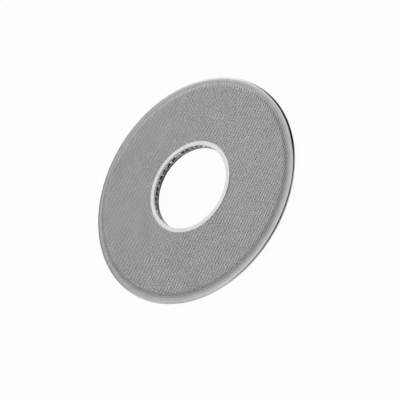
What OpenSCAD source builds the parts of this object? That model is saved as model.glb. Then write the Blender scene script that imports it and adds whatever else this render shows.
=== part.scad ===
// Leaf filter disc: two dished faces of woven wire cloth over metal-fibre felt and perforated plates,
// with a coarse drainage mesh between them, flanged hub rings round the bore and a seam-welded rim.
// Sizes are in millimetres. The disc lies flat with +Z along the bore, and the origin is the bore
// centre at the back hub ring.

/* [Disc] */
// Outside diameter over the rim bead
disc_d = 178; // [160:1:200]
// Bore diameter through both hub rings
bore_d = 65.4; // [56:0.2:76]

/* [Hub rings] */
// Width of the flange seen on the face
hub_flange_w = 3.2; // [2:0.1:6]
// Height of the flange above the cloth
hub_flange_t = 0.5; // [0.4:0.05:1.2]
// Wall of the collar that lines the bore
hub_collar_t = 0.8; // [0.5:0.05:1.4]
// Round on the edges of the flange
hub_round = 0.2; // [0.1:0.05:0.35]

/* [Woven cloth] */
// Thickness of the cloth under the tops of its wires
cloth_t = 0.5; // [0.45:0.05:1]
// Spacing of the wires
weave_pitch = 1.22; // [1.1:0.02:4]
// Diameter of a wire
wire_d = 0.5; // [0.4:0.02:0.6]
// Height of the outer wires above the cloth
wire_rise = 0.18; // [0.1:0.02:0.2]
// Angle of the outer wires from the X axis
weave_angle = 55; // [0:1:90]
// Plain border of the cloth beside the hub ring and the slope
weave_margin = 0.3; // [0.1:0.1:2]

/* [Filter felt] */
// Thickness of the metal-fibre felt
felt_t = 0.3; // [0.2:0.05:0.8]

/* [Perforated plates] */
// Thickness of a plate
plate_t = 0.4; // [0.3:0.05:1]
// Diameter of a hole
hole_d = 7.4; // [4:0.1:9]
// Spacing of the holes
hole_pitch = 12.5; // [11:0.1:18]

/* [Drainage mesh] */
// Diameter of a drainage wire
drain_wire_d = 1.38; // [1:0.02:2]
// Spacing of the drainage wires
drain_pitch = 4.2; // [3:0.1:7]
// Angle of the drainage wires from the X axis
drain_angle = 40; // [0:1:90]

/* [Rim] */
// Width of the flat lip at the rim, with the weld bead
lip_w = 4; // [3.4:0.1:6]
// Width of the slope between the face and the lip
slope_w = 4.6; // [3:0.1:8]
// Space between the two halves at the rim, filled by the weld
seam_gap = 0.8; // [0.4:0.05:1.2]

/* [Fits] */
// Gap between the collar and the layers round it
collar_gap = 0.1; // [0.05:0.01:0.2]
// Gap between crossing drainage wires, and between the wires and the plates
drain_gap = 0.02; // [0.01:0.01:0.06]
// Gap between the lips and the shoulders of the weld bead
bead_gap = 0.05; // [0.02:0.01:0.1]
// Distance of the mesh and plate edges behind the bore wall
bore_inset = 0.2; // [0.1:0.05:0.6]
// Gap between the mesh and plate edges and the start of the slope
slope_gap = 0.6; // [0.3:0.1:2]

/* [Hidden] */
$fn = 96;

// Radii from the bore outwards
bore_r = bore_d / 2;
flange_r = bore_r + hub_flange_w;
collar_r = bore_r + hub_collar_t;
layer_in_r = collar_r + collar_gap;
inner_in_r = bore_r + bore_inset;
rim_r = disc_d / 2;
slope_out_r = rim_r - lip_w;
slope_in_r = slope_out_r - slope_w;
inner_out_r = slope_in_r - slope_gap;

// Heights of one half above the middle plane
plate_z = drain_wire_d + drain_gap;
felt_z = plate_z + plate_t;
cloth_z = felt_z + felt_t;
flange_z = cloth_z + cloth_t;
half_t = flange_z + hub_flange_t;
lip_felt_z = seam_gap / 2;
lip_cloth_z = lip_felt_z + felt_t;
face_drop = felt_z - lip_felt_z;

// The weld bead is as thick as the two lips, and its round edge is the rim
bead_r = lip_cloth_z + cloth_t;
bead_c = rim_r - bead_r;
lip_out_r = bead_c - bead_gap;

// Ring of the cloth that shows its wires
weave_in_r = flange_r + weave_margin;
weave_out_r = slope_in_r - weave_margin;

// Steps in the curve of the slope and of the rounds
slope_steps = 8;
round_steps = 5;

// Places one half on its side of the middle plane
module front_half() {
    translate([0, 0, half_t])
        children();
}

module back_half() {
    translate([0, 0, half_t])
        rotate([180, 0, 0])
            children();
}

// Points of the pressed slope from the face down to the lip
function slope(z) = [
    for (i = [0:slope_steps])
        let (u = i / slope_steps)
            [slope_in_r + slope_w * u, z - face_drop * (1 - cos(180 * u)) / 2]
];

// Points of a quarter round with its centre at c, from angle a to angle b
function arc(c, r, a, b) = [
    for (i = [0:round_steps])
        let (t = a + (b - a) * i / round_steps)
            [c[0] + r * cos(t), c[1] + r * sin(t)]
];

function reversed(list) = [for (i = [len(list) - 1:-1:0]) list[i]];

module ring(r_in, r_out, z, h) {
    translate([0, 0, z])
        difference() {
            cylinder(h = h, r = r_out);
            translate([0, 0, -1])
                cylinder(h = h + 2, r = r_in);
        }
}

// The outer wires of the weave, side by side and half sunk in the cloth
module wires() {
    n = floor(weave_out_r / weave_pitch - 0.4);
    intersection() {
        ring(weave_in_r, weave_out_r, cloth_z, 2 * cloth_t);
        rotate([0, 0, weave_angle])
            for (j = [-n:n])
                translate([-rim_r, j * weave_pitch, flange_z + wire_rise - wire_d / 2])
                    rotate([0, 90, 0])
                        cylinder(h = disc_d, d = wire_d, $fn = 24);
    }
}

module cloth() {
    union() {
        rotate_extrude()
            polygon(concat(
                [[layer_in_r, cloth_z]],
                slope(cloth_z),
                [[lip_out_r, lip_cloth_z], [lip_out_r, lip_cloth_z + cloth_t]],
                reversed(slope(flange_z)),
                [[layer_in_r, flange_z]]
            ));
        wires();
    }
}

module felt() {
    rotate_extrude()
        polygon(concat(
            [[layer_in_r, felt_z]],
            slope(felt_z),
            [[lip_out_r, lip_felt_z], [lip_out_r, lip_cloth_z]],
            reversed(slope(cloth_z)),
            [[layer_in_r, cloth_z]]
        ));
}

module plate() {
    row = hole_pitch * sin(60);
    n = ceil(rim_r / row);
    difference() {
        ring(inner_in_r, inner_out_r, plate_z, plate_t);
        for (i = [-n:n], j = [-n:n]) {
            x = (i + abs(j) % 2 / 2) * hole_pitch;
            y = j * row;
            r = norm([x, y]);
            if (r > flange_r + hole_d / 2 && r < inner_out_r - hole_d * 0.7)
                translate([x, y, plate_z - 1])
                    cylinder(h = plate_t + 2, d = hole_d);
        }
    }
}

// One layer of parallel wires above the middle plane, cut to the ring between bore and slope
module drain_layer() {
    n = floor(inner_out_r / drain_pitch - 0.6);
    intersection() {
        ring(inner_in_r, inner_out_r, -drain_wire_d, 3 * drain_wire_d);
        for (j = [-n:n])
            translate([-rim_r, j * drain_pitch, (drain_wire_d + drain_gap) / 2])
                rotate([0, 90, 0])
                    cylinder(h = disc_d, d = drain_wire_d, $fn = 32);
    }
}

// L-shaped section: a flange on the cloth and a collar down the edges of cloth and felt
module hub_ring() {
    rotate_extrude()
        polygon(concat(
            [[bore_r, felt_z], [collar_r, felt_z], [collar_r, flange_z], [flange_r, flange_z]],
            arc([flange_r - hub_round, half_t - hub_round], hub_round, 0, 90),
            arc([bore_r + hub_round, half_t - hub_round], hub_round, 90, 180)
        ));
}

module front_mesh_cloth() {
    color([0.62, 0.62, 0.62])
        front_half() cloth();
}

module back_mesh_cloth() {
    color([0.62, 0.62, 0.62])
        back_half() cloth();
}

module front_filter_felt() {
    color([0.5, 0.5, 0.51])
        front_half() felt();
}

module back_filter_felt() {
    color([0.5, 0.5, 0.51])
        back_half() felt();
}

module front_perforated_plate() {
    color([0.68, 0.68, 0.7])
        front_half() plate();
}

module back_perforated_plate() {
    color([0.68, 0.68, 0.7])
        back_half() plate();
}

module drainage_warp_wires() {
    color([0.55, 0.55, 0.56])
        front_half() rotate([0, 0, drain_angle]) drain_layer();
}

module drainage_weft_wires() {
    color([0.52, 0.52, 0.53])
        back_half() rotate([0, 0, 90 - drain_angle]) drain_layer();
}

module front_hub_ring() {
    color([0.86, 0.86, 0.86])
        front_half() hub_ring();
}

module back_hub_ring() {
    color([0.86, 0.86, 0.86])
        back_half() hub_ring();
}

// Half-round bead along the edges of both lips, with a tongue of weld between the pinched felts
module rim_seam_weld() {
    color([0.72, 0.72, 0.72])
        front_half()
            rotate_extrude()
                union() {
                    intersection() {
                        translate([bead_c, 0])
                            circle(r = bead_r);
                        translate([bead_c, -2 * bead_r])
                            square([2 * bead_r, 4 * bead_r]);
                    }
                    translate([slope_out_r, -seam_gap / 2])
                        square([bead_c + bead_r / 2 - slope_out_r, seam_gap]);
                }
}

front_mesh_cloth();
back_mesh_cloth();
front_filter_felt();
back_filter_felt();
front_perforated_plate();
back_perforated_plate();
drainage_warp_wires();
drainage_weft_wires();
front_hub_ring();
back_hub_ring();
rim_seam_weld();
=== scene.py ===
import math
from collections import namedtuple

import bpy
import numpy as np
from mathutils import Matrix, Vector


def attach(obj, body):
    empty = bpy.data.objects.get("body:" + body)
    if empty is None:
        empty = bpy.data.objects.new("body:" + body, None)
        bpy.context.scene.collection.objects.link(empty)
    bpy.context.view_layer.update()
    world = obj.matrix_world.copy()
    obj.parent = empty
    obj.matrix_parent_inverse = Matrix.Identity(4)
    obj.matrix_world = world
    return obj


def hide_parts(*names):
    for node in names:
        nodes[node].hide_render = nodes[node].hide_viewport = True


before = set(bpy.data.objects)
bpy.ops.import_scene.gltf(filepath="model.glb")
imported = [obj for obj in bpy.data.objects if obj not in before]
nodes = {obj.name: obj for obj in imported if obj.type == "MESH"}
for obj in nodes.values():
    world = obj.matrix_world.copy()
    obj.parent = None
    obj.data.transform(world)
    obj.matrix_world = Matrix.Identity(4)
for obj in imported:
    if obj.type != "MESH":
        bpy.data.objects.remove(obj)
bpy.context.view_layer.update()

# Sizes of the disc in millimetres: radii from the bore axis, heights from the middle plane
MM = 0.001           # metres in a millimetre
MID = 3.1            # the middle plane above the face of the back hub ring
SLOPE_IN = 80.4      # where the pressed slope leaves the flat face
SLOPE_OUT = 85.0     # where it meets the rim lip
SLOPE_DROP = 1.4     # how far it comes down
GROUND_IN = 82.0     # where pressed metal starts to fill the meshes of the slope
GROUND_RISE = 82.2   # where that ground starts to rise between the wires
GROUND_SINK = 0.36   # how far it starts below the lip's surface carried up the slope
LIP_IN = 85.4        # last point of the curve that runs from the slope into the lip
LIP_FLAT = 86.4      # a point on the flat of the lip
LIP_OUT = 87.76      # where the lip meets the rim bead
LIP_TOP = 1.2        # top of the lip
LIP_UNDER = 0.71     # underside of the lip at the foot of the slope
LIP_TAPER = 0.005    # how much lower its underside is at the bead
UNDER_BEND = 84.6    # where the underside starts to follow the slope
LIP_CORNER = ((-0.12, 0.0), (-0.03, -0.04), (0.0, -0.13))   # points of its rounding, from the sharp corner

# Wires of the cloth in millimetres
CLOTH_MID = 2.46                    # middle of the cloth on the flat face
FREE_WIRE = (0.07, 0.21, 0.16)      # crimp, half width and half height of a wire
PRESSED_WIRE = (0.03, 0.24, 0.14)   # the same where the cloth is pressed
HUB_PRESS = (36.2, 35.4)            # radii where the cloth is free and where the hub ring has pressed it
HUB_SINK = 0.06                     # how far it is pressed down there
FOOT_PRESS = (82.8, SLOPE_OUT)      # the same at the foot of the slope
FOOT_SINK = 0.18                    # how far it sinks into the lip there

# Wires of the drainage mesh in millimetres
DRAINAGE_CRIMP = 0.69
DRAINAGE_RADIUS = 0.68

# How wires are laid
EDGE_CLEAR = 0.25     # a wire nearer than this to the outside of its ring is left out, in pitches
END_CLEAR = 0.12      # a section nearer than this to a wire's end is left out, in steps
WANDER = 0.012        # how far a wire strays to its side, in pitches
WANDER_RATE = 0.05    # radians of that wave in a millimetre
WANDER_SHIFT = 1.7    # radians between the waves of two neighbours

# Bands of finish, painted shade and painted highlight: the radii or heights in millimetres at which each
# starts and is complete
HUB_BORDER = (37.0, 36.3)      # even grey of the cloth beside the hub ring
FLANGE_SIDE = (34.8, 35.6)     # outer part of the hub ring's flange
SLOPE_SHADE = (81.0, 83.4)      # painted shade: cloth darkened down the slope
LIP_FOOT_SHADE = (85.3, 84.7)        # painted shade on the ground between the wires at the foot of the slope
LIP_EDGE = (86.1, 87.0)        # outer part of the lip
HIGHLIGHT_EDGE = (87.1, 87.4)   # painted highlight: bright line beside the weld
UNSHADED_WALL = (1.4, 4.6)        # part of the bore wall above the painted shade, by height above the back face

# Bands of finish, painted highlight and painted dark reflection by how far the surface faces up or down: 1
# on a flat face and 0 on a wall
BORE_WALL = (0.6, 0.1)         # wall of the hub ring
FLANGE_WALL = (0.8, 0.2)       # side of its flange
BEAD_TOP_HIGHLIGHT = (0.94, 0.99)        # painted highlight on the top of the weld bead
DARK_REFLECTION_FLANK = (1.02, 0.96)      # part of the bead that takes the painted dark reflection, which leaves its top paler

# Round the weld bead: shares of a turn, counted from the negative X axis
DARK_REFLECTION_START = (0.345, 0.385)    # the painted dark reflection comes in
DARK_REFLECTION_END = (0.55, 0.44)        # and fades out
WELD_RIPPLES = 520             # ripples in the whole turn
# Colour of the painted dark reflection on the bead
DARK_REFLECTION = (0.02, 0.02, 0.022, 1.0)
HIGHLIGHT_GREY = 0.57           # grey of the painted highlight on the lip's edge and on the bead's top

SIDES = (("front", 1), ("back", -1))               # a side and the sign of its heights
DIRECTIONS = (("warp", False), ("weft", True))     # a direction of wires and whether it is the weft
WAVE_LENGTH = math.pi / 10                         # of a wave texture at a scale of 1


# Shapes

def smooth(x, start, end):
    """A soft step from 0 at start to 1 at end."""
    share = np.clip((np.asarray(x, float) - start) / (end - start), 0.0, 1.0)
    return share * share * (3 - 2 * share)


def slope_drop(r):
    """How far the pressed slope has come down at radius r."""
    share = np.clip((np.asarray(r, float) - SLOPE_IN) / (SLOPE_OUT - SLOPE_IN), 0.0, 1.0)
    return SLOPE_DROP * (1 - np.cos(np.pi * share)) / 2


def mesh_object(name, points, face_groups, side):
    """A smooth-shaded mesh on one side of the disc, from groups of faces with equally many corners."""
    points = points * np.array([1.0, side, side])
    points[:, 2] += MID
    corners = np.concatenate([group.ravel() for group in face_groups]).astype(np.int32)
    sizes = np.concatenate([np.full(len(group), group.shape[1], np.int32) for group in face_groups])
    starts = (np.cumsum(sizes) - sizes).astype(np.int32)
    mesh = bpy.data.meshes.new(name)
    mesh.vertices.add(len(points))
    mesh.vertices.foreach_set("co", (points.astype(np.float32) * MM).ravel())
    mesh.loops.add(len(corners))
    mesh.loops.foreach_set("vertex_index", corners)
    mesh.polygons.add(len(sizes))
    mesh.polygons.foreach_set("loop_start", starts)
    mesh.polygons.foreach_set("use_smooth", np.ones(len(sizes), bool))
    mesh.update(calc_edges=True)
    mesh.validate()
    piece = bpy.data.objects.new(name, mesh)
    bpy.context.scene.collection.objects.link(piece)
    return piece


def revolved(name, profile, side, steps=360):
    """A closed profile of (radius, height) points turned about the bore axis."""
    radius, height = np.array(profile).T
    count = len(profile)
    turn = (np.arange(steps) * 2 * np.pi / steps)[:, None]
    height = np.broadcast_to(height, (steps, count))
    points = np.stack([np.cos(turn) * radius, np.sin(turn) * radius, height], axis=-1)
    step, point = np.meshgrid(np.arange(steps), np.arange(count), indexing="ij")
    here = step * count
    there = (step + 1) % steps * count
    after = (point + 1) % count
    quads = np.stack([here + point, there + point, there + after, here + after], axis=-1)
    return mesh_object(name, points.reshape(-1, 3), [quads.reshape(-1, 4)], side)


def cloth_shape(r):
    """Rolled cloth: flat wires with a low crimp, pressed under the hub ring and sunk in the rim's lip."""
    hub = smooth(r, *HUB_PRESS)
    foot = smooth(r, *FOOT_PRESS)
    press = np.maximum(hub, foot)
    height = CLOTH_MID - HUB_SINK * hub - FOOT_SINK * foot - slope_drop(r)
    section = [free + (pressed - free) * press for free, pressed in zip(FREE_WIRE, PRESSED_WIRE)]
    return height, *section


def drainage_shape(r):
    """Round wires on the middle plane, the same all over the ring."""
    sizes = (0.0, DRAINAGE_CRIMP, DRAINAGE_RADIUS, DRAINAGE_RADIUS)
    return [np.full_like(r, size) for size in sizes]


# A plain weave that is cut to a ring
Weave = namedtuple("Weave", (
    "pitch",      # distance between wires
    "angle",      # direction of the warp in degrees
    "inside",     # radii of the ring
    "outside",
    "corners",    # corners of a wire's section
    "step",       # distance between sections in pitches
    "rise",       # how far the warp stands above the mean and the weft below it
    "widen",      # what is added to the weft's half width
    "shape"))     # gives a wire's height, crimp, half width and half height at a radius
CLOTH = Weave(
    pitch=1.22, angle=55, inside=33.75, outside=85.1,
    corners=6, step=1.0, rise=0.05, widen=0.02, shape=cloth_shape)
DRAINAGE = Weave(
    pitch=4.2, angle=40, inside=32.95, outside=79.7,
    corners=8, step=0.25, rise=0.0, widen=0.0, shape=drainage_shape)


def wire_spans(weave, across):
    """Start and end of each straight wire at this distance from the axis. The bore cuts a wire in two."""
    far = math.sqrt(weave.outside ** 2 - across ** 2)
    if abs(across) >= weave.inside:
        return [(-far, far)]
    near = math.sqrt(weave.inside ** 2 - across ** 2)
    return [(-far, -near), (near, far)]


def wire_runs(weave):
    """The number of each wire, its distance from the axis, and the places of its sections along it."""
    reach = int(weave.outside / weave.pitch) + 1
    clear = END_CLEAR * weave.pitch * weave.step
    for number in range(-reach, reach + 1):
        across = (number + 0.5) * weave.pitch
        if abs(across) > weave.outside - EDGE_CLEAR * weave.pitch:
            continue
        for start, end in wire_spans(weave, across):
            first = math.ceil((start / weave.pitch + 0.5) / weave.step)
            last = math.floor((end / weave.pitch + 0.5) / weave.step)
            along = (np.arange(first, last + 1) * weave.step - 0.5) * weave.pitch
            along = along[(along > start + clear) & (along < end - clear)]
            yield number, across, np.concatenate([[start], along, [end]])


def wire_points(weave, weft, number, across, along):
    """The corners of a wire's sections, one section after the other."""
    turn = math.radians(weave.angle + (90 if weft else 0))
    ahead = np.array([math.cos(turn), math.sin(turn), 0.0])
    aside = np.array([-ahead[1], ahead[0], 0.0])
    over = -1.0 if weft else 1.0
    crossing = -number - 1 if weft else number
    height, crimp, half_width, half_height = weave.shape(np.hypot(along, across))
    wave = np.cos(np.pi * (along / weave.pitch - 0.5) + np.pi * crossing)
    wander = WANDER * weave.pitch * np.sin(along * WANDER_RATE + number * WANDER_SHIFT)
    middle = along[:, None] * ahead + (across + wander)[:, None] * aside
    middle[:, 2] += height + over * weave.rise + over * crimp * wave
    heading = np.gradient(middle, axis=0)
    heading /= np.linalg.norm(heading, axis=1)[:, None]
    up = np.cross(heading, aside)
    up *= np.sign(up[:, 2])[:, None]
    corner = (np.arange(weave.corners) + 0.5) * 2 * np.pi / weave.corners
    half_width = half_width + (weave.widen if weft else 0.0)
    sideways = (half_width[:, None] * np.cos(corner))[:, :, None] * aside
    upwards = (half_height[:, None] * np.sin(corner))[:, :, None] * up[:, None, :]
    return (middle[:, None, :] + sideways + upwards).reshape(-1, 3)


def tube_faces(sections, corners, first):
    """The quads along a tube whose points start at number first, and the two faces that close its ends."""
    corner = np.arange(corners)
    section = first + (np.arange(sections - 1) * corners)[:, None]
    here = section + corner
    beside = section + (corner + 1) % corners
    quads = np.stack([here, beside, beside + corners, here + corners], axis=-1).reshape(-1, 4)
    ends = np.array([corner[::-1] + first, corner + first + (sections - 1) * corners])
    return quads, ends


def woven(name, weave, weft, side):
    """All wires of one direction of a plain weave, as one mesh."""
    points = []
    quads = []
    ends = []
    count = 0
    for number, across, along in wire_runs(weave):
        wire = wire_points(weave, weft, number, across, along)
        wire_quads, wire_ends = tube_faces(len(along), weave.corners, count)
        points.append(wire)
        quads.append(wire_quads)
        ends.append(wire_ends)
        count += len(wire)
    return mesh_object(name, np.concatenate(points), [np.concatenate(quads), np.concatenate(ends)], side)


def lip_top(r):
    """The pressed ground that rises between the wires down the slope, and the flat lip after it."""
    sunk = GROUND_SINK * (1 - smooth(r, GROUND_RISE, SLOPE_OUT))
    return float(LIP_TOP + SLOPE_DROP - slope_drop(r) - sunk)


def lip_under(r):
    """The underside of the ground, at one distance below the slope."""
    return float(LIP_UNDER + SLOPE_DROP - slope_drop(r))


def lip_profile():
    """The lip's outline: along its top from the slope to the bead, round the corner and back underneath."""
    top = [(r, lip_top(r)) for r in np.linspace(GROUND_IN, LIP_IN, num=18)]
    corner = [(LIP_OUT + out, LIP_TOP + up) for out, up in LIP_CORNER]
    edge = [(LIP_OUT, LIP_UNDER - LIP_TAPER), (SLOPE_OUT, LIP_UNDER)]
    under = [(r, lip_under(r)) for r in np.linspace(UNDER_BEND, GROUND_IN, num=7)]
    return [*top, (LIP_FLAT, LIP_TOP), *corner, *edge, *under]


# Shader nodes

def grey(level):
    return (level, level, level, 1.0)


def give(tree, socket, value):
    """Links a socket to another one, or sets it to a constant."""
    if isinstance(value, bpy.types.NodeSocket):
        tree.links.new(value, socket)
    else:
        socket.default_value = value


def add_node(tree, kind, **values):
    """A new node. Each value goes to the input of that name, or else to the setting of that name."""
    new = tree.nodes.new(kind)
    for name, value in values.items():
        if name in new.inputs:
            give(tree, new.inputs[name], value)
        else:
            setattr(new, name, value)
    return new


def computed(tree, operation, *values, kind="ShaderNodeMath", output="Value"):
    """The result of a math node."""
    step = add_node(tree, kind, operation=operation)
    for socket, value in zip(step.inputs, values):
        give(tree, socket, value)
    return step.outputs[output]


def mapped(tree, value, limits, results=(0.0, 1.0), curve="SMOOTHSTEP"):
    """Goes from the first result to the second while the value goes from the first limit to the second."""
    scale = add_node(tree, "ShaderNodeMapRange", interpolation_type=curve, Value=value)
    names = ("From Min", "From Max", "To Min", "To Max")
    for name, number in zip(names, (*limits, *results)):
        scale.inputs[name].default_value = number
    return scale.outputs["Result"]


def product(tree, masks):
    """All masks multiplied together."""
    result = masks[0]
    for mask in masks[1:]:
        result = computed(tree, "MULTIPLY", result, mask)
    return result


def band(tree, place, limits):
    """A mask by the distance from the bore axis, which is 0 at the first limit and 1 from the second on."""
    plan = computed(tree, "MULTIPLY", place, (1.0, 1.0, 0.0), kind="ShaderNodeVectorMath", output="Vector")
    away = computed(tree, "LENGTH", plan, kind="ShaderNodeVectorMath")
    return mapped(tree, away, [limit * MM for limit in limits])


def upward(tree):
    """How far the surface faces up or down: 1 on a flat face and 0 on a wall."""
    normal = add_node(tree, "ShaderNodeNewGeometry").outputs["Normal"]
    parts = add_node(tree, "ShaderNodeSeparateXYZ", Vector=normal)
    return computed(tree, "ABSOLUTE", parts.outputs["Z"])


def noise(tree, place, scale, detail, distortion=0.0):
    cloud = add_node(
        tree, "ShaderNodeTexNoise",
        Vector=place, Scale=scale, Detail=detail, Distortion=distortion)
    return cloud.outputs["Fac"]


def ramp(tree, value, start, end):
    """A grey that goes between two stops, each a position and a level."""
    colours = add_node(tree, "ShaderNodeValToRGB", Fac=value)
    for stop, (position, level) in zip(colours.color_ramp.elements, (start, end)):
        stop.position = position
        stop.color = grey(level)
    return colours.outputs["Color"]


def mixed(tree, mask, below, above, blend="MIX"):
    """The colour below, with the one above mixed in where the mask is 1."""
    mix = add_node(tree, "ShaderNodeMix", data_type="RGBA", blend_type=blend, Factor=mask, A=below, B=above)
    return mix.outputs["Result"]


# Steps that the materials share

def metal(name, rough, metallic=1.0):
    """A new material, its node tree, its shader, and the socket that gives a point's place in metres."""
    material = bpy.data.materials.new(name)
    material.use_nodes = True
    tree = material.node_tree
    shader = tree.nodes["Principled BSDF"]
    shader.inputs["Metallic"].default_value = metallic
    shader.inputs["Roughness"].default_value = rough
    place = add_node(tree, "ShaderNodeTexCoord").outputs["Object"]
    return material, tree, shader, place


def wandering_grey(tree, shader, place, scale, low, high):
    """Gives the shader a base colour that wanders between two greys."""
    colour = ramp(tree, noise(tree, place, scale, detail=4.0), start=(0.3, low), end=(0.7, high))
    tree.links.new(colour, shader.inputs["Base Color"])


def recolour(tree, shader, mask, colour, blend="MIX"):
    """Mixes a colour into the shader's base colour where the mask is 1."""
    before = shader.inputs["Base Color"].links[0].from_socket
    tree.links.new(mixed(tree, mask, before, colour, blend), shader.inputs["Base Color"])


def relief(tree, shader, height, strength, depth):
    """Bump of a depth in metres."""
    bump = add_node(tree, "ShaderNodeBump", Strength=strength, Distance=depth, Height=height)
    tree.links.new(bump.outputs["Normal"], shader.inputs["Normal"])


def vary_roughness(tree, shader, value, low, high):
    rough = mapped(tree, value, limits=(0.0, 1.0), results=(low, high), curve="LINEAR")
    tree.links.new(rough, shader.inputs["Roughness"])


# Materials of the disc

def wire_material(name, low, high, rough, grain, cloth):
    """Drawn wire with a fine grain. Cloth has painted shade down the slope and is an even grey at the hub
    ring.
    """
    material, tree, shader, place = metal(name, rough)
    wandering_grey(tree, shader, place, scale=60.0, low=low, high=high)
    if cloth:
        # Painted shade: the cloth darker down the slope
        recolour(tree, shader, band(tree, place, SLOPE_SHADE), grey(0.72), "MULTIPLY")
        recolour(tree, shader, band(tree, place, HUB_BORDER), grey(0.80))
    fine = noise(tree, place, scale=grain, detail=3.0)
    relief(tree, shader, fine, strength=0.06, depth=0.02 * MM)
    vary_roughness(tree, shader, fine, low=rough - 0.08, high=rough + 0.08)
    return material


def felt_material():
    """Dull matted fibres."""
    material, tree, shader, place = metal("sintered_felt", rough=0.75, metallic=0.5)
    wandering_grey(tree, shader, place, scale=2200.0, low=0.38, high=0.50)
    fibres = noise(tree, place, scale=5200.0, detail=5.0, distortion=1.5)
    relief(tree, shader, fibres, strength=0.5, depth=0.05 * MM)
    return material


def bore_wall_shade(tree, place):
    """Painted shade low in the bore, in dark blots, and plain grey towards the front."""
    blots = noise(tree, place, scale=280.0, detail=2.0)
    painted_shade = ramp(tree, blots, start=(0.54, 0.01), end=(0.565, 0.24))
    height = add_node(tree, "ShaderNodeSeparateXYZ", Vector=place).outputs["Z"]
    unshaded = mapped(tree, height, [limit * MM for limit in UNSHADED_WALL])
    return mixed(tree, unshaded, painted_shade, grey(0.54))


def turned_material():
    """Bright turned ring: fine grooves, light scuffs, painted shade on the bore wall and a polished outer
    side.
    """
    material, tree, shader, place = metal("turned_steel", rough=0.26)
    wandering_grey(tree, shader, place, scale=90.0, low=0.57, high=0.63)
    flat = upward(tree)
    # Painted shade on the bore wall, darkest low down
    recolour(tree, shader, mapped(tree, flat, BORE_WALL), bore_wall_shade(tree, place))
    outer_side = product(tree, [band(tree, place, FLANGE_SIDE), mapped(tree, flat, FLANGE_WALL)])
    recolour(tree, shader, outer_side, grey(0.95))
    grooves = add_node(
        tree, "ShaderNodeTexWave", wave_type="RINGS", rings_direction="Z",
        Vector=place, Scale=900.0, Distortion=0.4, Detail=1.0)
    relief(tree, shader, grooves.outputs["Fac"], strength=0.06, depth=0.02 * MM)
    vary_roughness(tree, shader, noise(tree, place, scale=700.0, detail=4.0), low=0.22, high=0.34)
    return material


def weave_marks(tree, place, axis):
    """Bands across an axis, one to each wire of the cloth."""
    wave = add_node(
        tree, "ShaderNodeTexWave", wave_type="BANDS", bands_direction=axis,
        Vector=place, Scale=WAVE_LENGTH / (CLOTH.pitch * MM), Distortion=0.3)
    return wave.outputs["Fac"]


def lip_material():
    """Cloth pressed flat: the weave is left as faint crossed marks, painted shade lies at the foot of the
    slope, and the edge by the weld has a painted highlight.
    """
    material, tree, shader, place = metal("pressed_rim", rough=0.36)
    wandering_grey(tree, shader, place, scale=160.0, low=0.35, high=0.41)
    turned = add_node(
        tree, "ShaderNodeVectorRotate", rotation_type="Z_AXIS",
        Vector=place, Angle=math.radians(-CLOTH.angle))
    marks = [weave_marks(tree, turned.outputs["Vector"], axis) for axis in ("X", "Y")]
    relief(tree, shader, product(tree, marks), strength=0.25, depth=0.08 * MM)
    # Painted shade on the lip's ground at the foot of the slope
    recolour(tree, shader, band(tree, place, LIP_FOOT_SHADE), grey(0.73), "MULTIPLY")
    recolour(tree, shader, band(tree, place, LIP_EDGE), grey(0.42))
    # Painted highlight: a bright line on the lip beside the weld
    recolour(tree, shader, band(tree, place, HIGHLIGHT_EDGE), grey(HIGHLIGHT_GREY))
    return material


def plate_material():
    """Mill-finish sheet with the lines of its rolling."""
    material, tree, shader, place = metal("mill_sheet", rough=0.4)
    wandering_grey(tree, shader, place, scale=120.0, low=0.74, high=0.84)
    stretched = add_node(tree, "ShaderNodeMapping", Vector=place, Scale=(40.0, 2500.0, 40.0))
    lines = noise(tree, stretched.outputs["Vector"], scale=1.0, detail=2.0)
    relief(tree, shader, lines, strength=0.2, depth=0.02 * MM)
    return material


def weld_material():
    """Smooth bright bead with faint ripples, a painted highlight on its top, and a painted dark reflection
    on its flank over one stretch of the turn.
    """
    material, tree, shader, place = metal("weld_bead", rough=0.1)
    wandering_grey(tree, shader, place, scale=300.0, low=0.45, high=0.52)
    turn = add_node(tree, "ShaderNodeTexGradient", gradient_type="RADIAL", Vector=place).outputs["Fac"]
    ripples = computed(tree, "SINE", computed(tree, "MULTIPLY", turn, 2 * math.pi * WELD_RIPPLES))
    relief(tree, shader, ripples, strength=0.12, depth=0.04 * MM)
    flat = upward(tree)
    # Painted highlight on the bead's top
    recolour(tree, shader, mapped(tree, flat, BEAD_TOP_HIGHLIGHT), grey(HIGHLIGHT_GREY))
    # Painted dark reflection: the bead's flank black over one stretch of the turn
    limits = ((turn, DARK_REFLECTION_START), (turn, DARK_REFLECTION_END), (flat, DARK_REFLECTION_FLANK))
    dark_reflection_mask = product(tree, [mapped(tree, value, edge) for value, edge in limits])
    recolour(tree, shader, dark_reflection_mask, DARK_REFLECTION)
    return material


# The pieces and what they are made of

def dress(piece, material):
    piece.data.materials.clear()
    piece.data.materials.append(material)


def stand_for(piece, material, node):
    """Dresses a new piece, which takes the place of a CAD node."""
    dress(piece, material)
    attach(piece, "root")
    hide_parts(node)


# Warp and weft are the same steel, painted lighter and darker: painted light and shade of the weave
lit_and_shaded_cloth_wires = {
    "warp": wire_material("cloth_warp_wire_painted_lighter", low=0.87, high=0.93, rough=0.30, grain=5000.0, cloth=True),
    "weft": wire_material("cloth_weft_wire_painted_darker", low=0.49, high=0.55, rough=0.34, grain=5000.0, cloth=True)}
drainage_wire = wire_material("drainage_wire", low=0.88, high=0.96, rough=0.32, grain=2500.0, cloth=False)
pressed_rim = lip_material()
turned_steel = turned_material()
sintered_felt = felt_material()
mill_sheet = plate_material()

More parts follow.
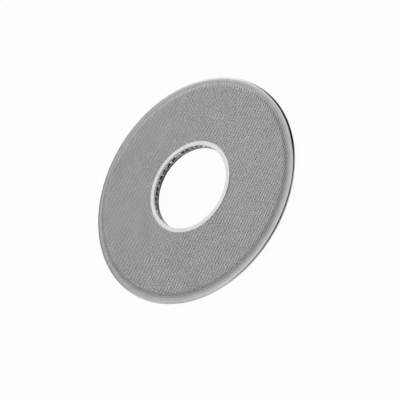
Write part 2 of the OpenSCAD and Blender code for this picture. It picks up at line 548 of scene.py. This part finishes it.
for label, side in SIDES:
    for word, weft in DIRECTIONS:
        wires = woven(f"{label}_cloth_{word}", CLOTH, weft, side)
        stand_for(wires, lit_and_shaded_cloth_wires[word], f"{label}_mesh_cloth")
    lip = revolved(f"{label}_rim_lip", lip_profile(), side)
    stand_for(lip, pressed_rim, f"{label}_mesh_cloth")
    dress(nodes[f"{label}_hub_ring"], turned_steel)
    dress(nodes[f"{label}_filter_felt"], sintered_felt)
    dress(nodes[f"{label}_perforated_plate"], mill_sheet)
for word, weft in DIRECTIONS:
    wires = woven(f"drainage_mesh_{word}", DRAINAGE, weft, side=1)
    stand_for(wires, drainage_wire, f"drainage_{word}_wires")
dress(nodes["rim_seam_weld"], weld_material())


# Floor, light and camera

FLOOR_SIZE = 12.0    # metres

# The share of white in the floor for each kind of ray
FLOOR_WHITE = (("Is Camera Ray", 0.96), ("Is Glossy Ray", 0.35), ("Is Transmission Ray", 0.35))

# A light tent, pale all round, with soft panels that are brighter or dimmer
TENT_LEVEL = 1.46
LEAST_LEVEL = 0.03
Panel = namedtuple("Panel", (
    "azimuth",      # direction of its middle in degrees, where 270 is the camera's side
    "elevation",
    "outer",        # angles from its middle at which it starts and is complete
    "inner",
    "gain"))        # what it adds to the level
PANELS = (
    Panel(56, 16, 26, 8, 1.1),        # bright panel low at the back right
    Panel(40, 50, 40, 10, -0.4),      # softer light above it
    Panel(266, 34, 46, 36, -1.1),     # the opening on the camera's side
    Panel(310, 32, 46, 36, -1.1),     # its right half
    Panel(358, 20, 38, 28, -0.9),     # dim right side
    Panel(104, 6, 38, 18, -1.25),     # dark foot of the back
    Panel(150, 44, 42, 14, -0.55),    # dim back left
    Panel(190, 20, 40, 15, -0.2),     # left side
    Panel(0, 90, 32, 8, -0.1))        # roof

# The camera's view of the middle of the disc
CAMERA_TILT = math.radians(43.9)   # from the bore axis
CAMERA_ROLL = math.radians(58.5)   # about the direction of view
CAMERA_FAR = 0.9349                # metres


def floor_material():
    """Pale and matt under the object, and close to white as the camera sees it."""
    material = bpy.data.materials.new("studio_floor")
    material.use_nodes = True
    tree = material.node_tree
    tree.nodes.clear()
    rays = add_node(tree, "ShaderNodeLightPath")
    share = 0.0
    for kind, part in FLOOR_WHITE:
        share = computed(tree, "MULTIPLY_ADD", rays.outputs[kind], part, share)
    pale = add_node(tree, "ShaderNodeBsdfDiffuse", Color=grey(0.86))
    white = add_node(tree, "ShaderNodeEmission", Color=grey(1.0), Strength=1.0)
    mix = add_node(tree, "ShaderNodeMixShader")
    for socket, source in zip(mix.inputs, (share, pale.outputs["BSDF"], white.outputs["Emission"])):
        tree.links.new(source, socket)
    add_node(tree, "ShaderNodeOutputMaterial", Surface=mix.outputs["Shader"])
    return material


def direction(azimuth, elevation):
    """The vector of length 1 that points that way."""
    around = math.radians(azimuth)
    above = math.radians(elevation)
    return (math.cos(above) * math.cos(around), math.cos(above) * math.sin(around), math.sin(above))


def light_tent():
    """The world: one level all round, with each panel's gain added to it."""
    world = bpy.data.worlds.new("light_tent")
    world.use_nodes = True
    tree = world.node_tree
    view = add_node(tree, "ShaderNodeTexCoord").outputs["Generated"]
    level = TENT_LEVEL
    for panel in PANELS:
        middle = direction(panel.azimuth, panel.elevation)
        near = computed(tree, "DOT_PRODUCT", view, middle, kind="ShaderNodeVectorMath")
        limits = [math.cos(math.radians(angle)) for angle in (panel.outer, panel.inner)]
        level = computed(tree, "ADD", mapped(tree, near, limits, results=(0.0, panel.gain)), level)
    background = tree.nodes["Background"]
    background.inputs["Color"].default_value = grey(1.0)
    tree.links.new(computed(tree, "MAXIMUM", level, LEAST_LEVEL), background.inputs["Strength"])
    return world


def photo_camera():
    """The camera at the photo's viewing angle and framing."""
    data = bpy.data.cameras.new("camera")
    data.sensor_width = 36.0
    data.lens = 114.66
    data.shift_x = 0.0208
    data.shift_y = -0.0307
    data.clip_start = 0.01
    camera = bpy.data.objects.new("camera", data)
    bpy.context.scene.collection.objects.link(camera)
    back = Vector((0, -math.sin(CAMERA_TILT), math.cos(CAMERA_TILT)))
    level_right = Vector((1, 0, 0))
    level_up = Vector((0, math.cos(CAMERA_TILT), math.sin(CAMERA_TILT)))
    right = math.cos(CAMERA_ROLL) * level_right - math.sin(CAMERA_ROLL) * level_up
    up = math.sin(CAMERA_ROLL) * level_right + math.cos(CAMERA_ROLL) * level_up
    place = Vector((0, 0, MID * MM)) + CAMERA_FAR * back
    turn = Matrix((right, up, back)).transposed()
    camera.matrix_world = Matrix.Translation(place) @ turn.to_4x4()
    return camera


bpy.ops.mesh.primitive_plane_add(size=FLOOR_SIZE, location=(0, 0, 0))
floor = bpy.context.object
floor.name = "studio_floor"
floor.data.materials.append(floor_material())

scene = bpy.context.scene
scene.world = light_tent()
scene.camera = photo_camera()
scene.view_settings.view_transform = "Standard"
